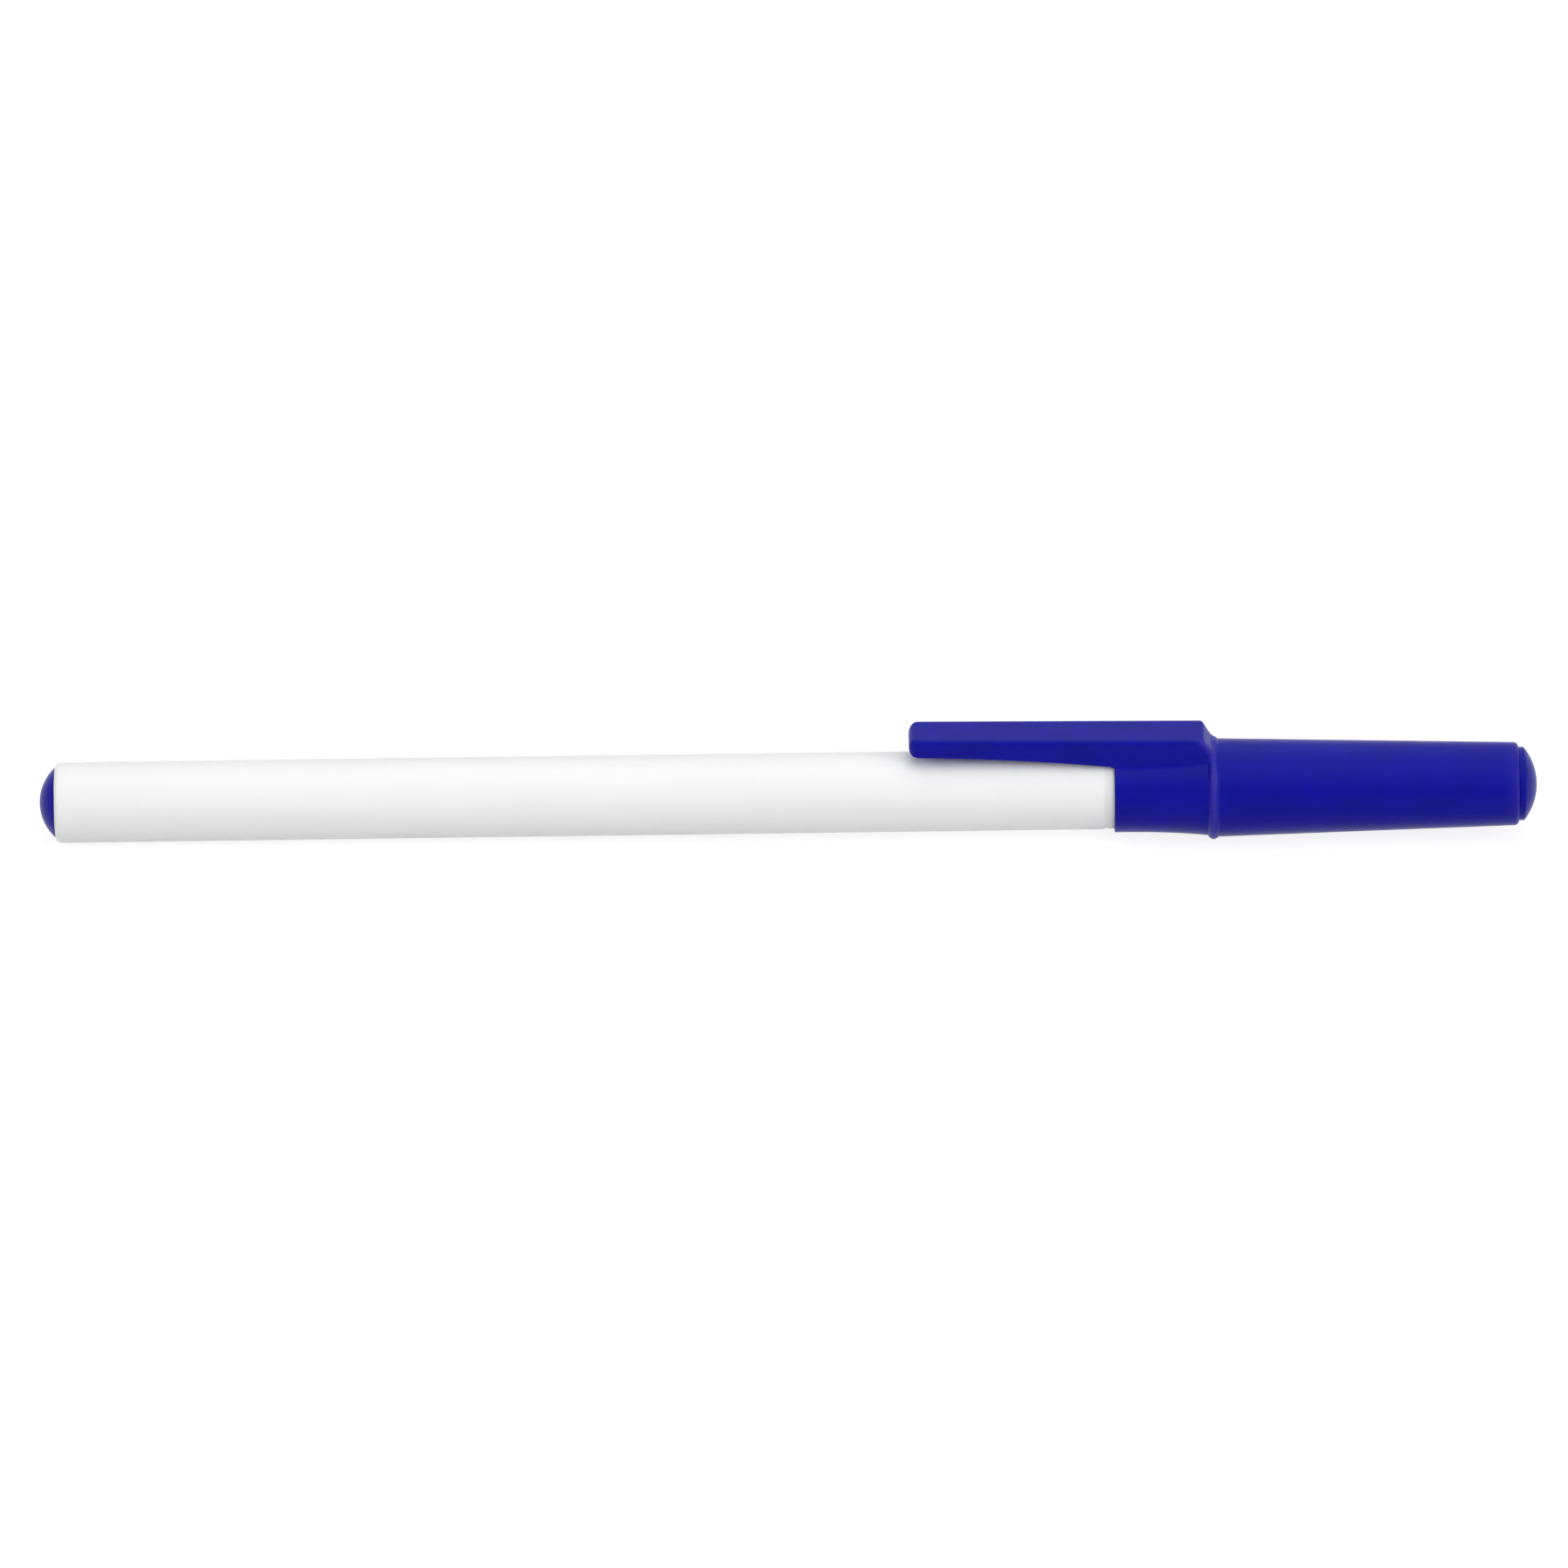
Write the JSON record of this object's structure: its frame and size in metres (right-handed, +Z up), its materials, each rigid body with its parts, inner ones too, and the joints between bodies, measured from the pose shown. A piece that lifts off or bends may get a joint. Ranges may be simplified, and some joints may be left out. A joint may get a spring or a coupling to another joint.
{
  "type": "ballpoint pen",
  "caption": "Capped stick ballpoint pen: straight white barrel, blue end plug and a blue cap with a side clip; the cap slides off the writing point.",
  "frame": {"origin": "midway along the pen, under its axis, at the foot of the cap's flange ring", "axes": "+X from the barrel's end plug to the cap's end plug, +Y across the pen, +Z up through the clip; the plane XZ mirrors the pen"},
  "size_m": [0.1488, 0.0102, 0.012],
  "materials": {
    "white_plastic": "satin gloss",
    "blue_plastic": "satin gloss",
    "point_metal": "polished nickel silver",
    "ball_metal": "polished",
    "tube_plastic": "clear",
    "ink_paste": "wet"
  },
  "bodies": {
    "pen": {"barrel": "white_plastic", "barrel_end_plug": "blue_plastic", "tip_holder": "blue_plastic", "writing_point": "point_metal", "ink_tube": "tube_plastic", "ink_column": "ink_paste"},
    "ball": {"writing_ball": "ball_metal"},
    "cap": {"cap": "blue_plastic", "cap_end_plug": "blue_plastic"}
  },
  "joints": [
    {"name": "cap_slide", "type": "slide", "parent": "pen", "child": "cap", "axis": [1, 0, 0], "range_m": [0, 0.06]},
    {"name": "ball_roll", "type": "hinge", "parent": "pen", "child": "ball", "pos_m": [0.06459, 0, 0.00515], "axis": [0, 1, 0], "continuous": true}
  ]
}
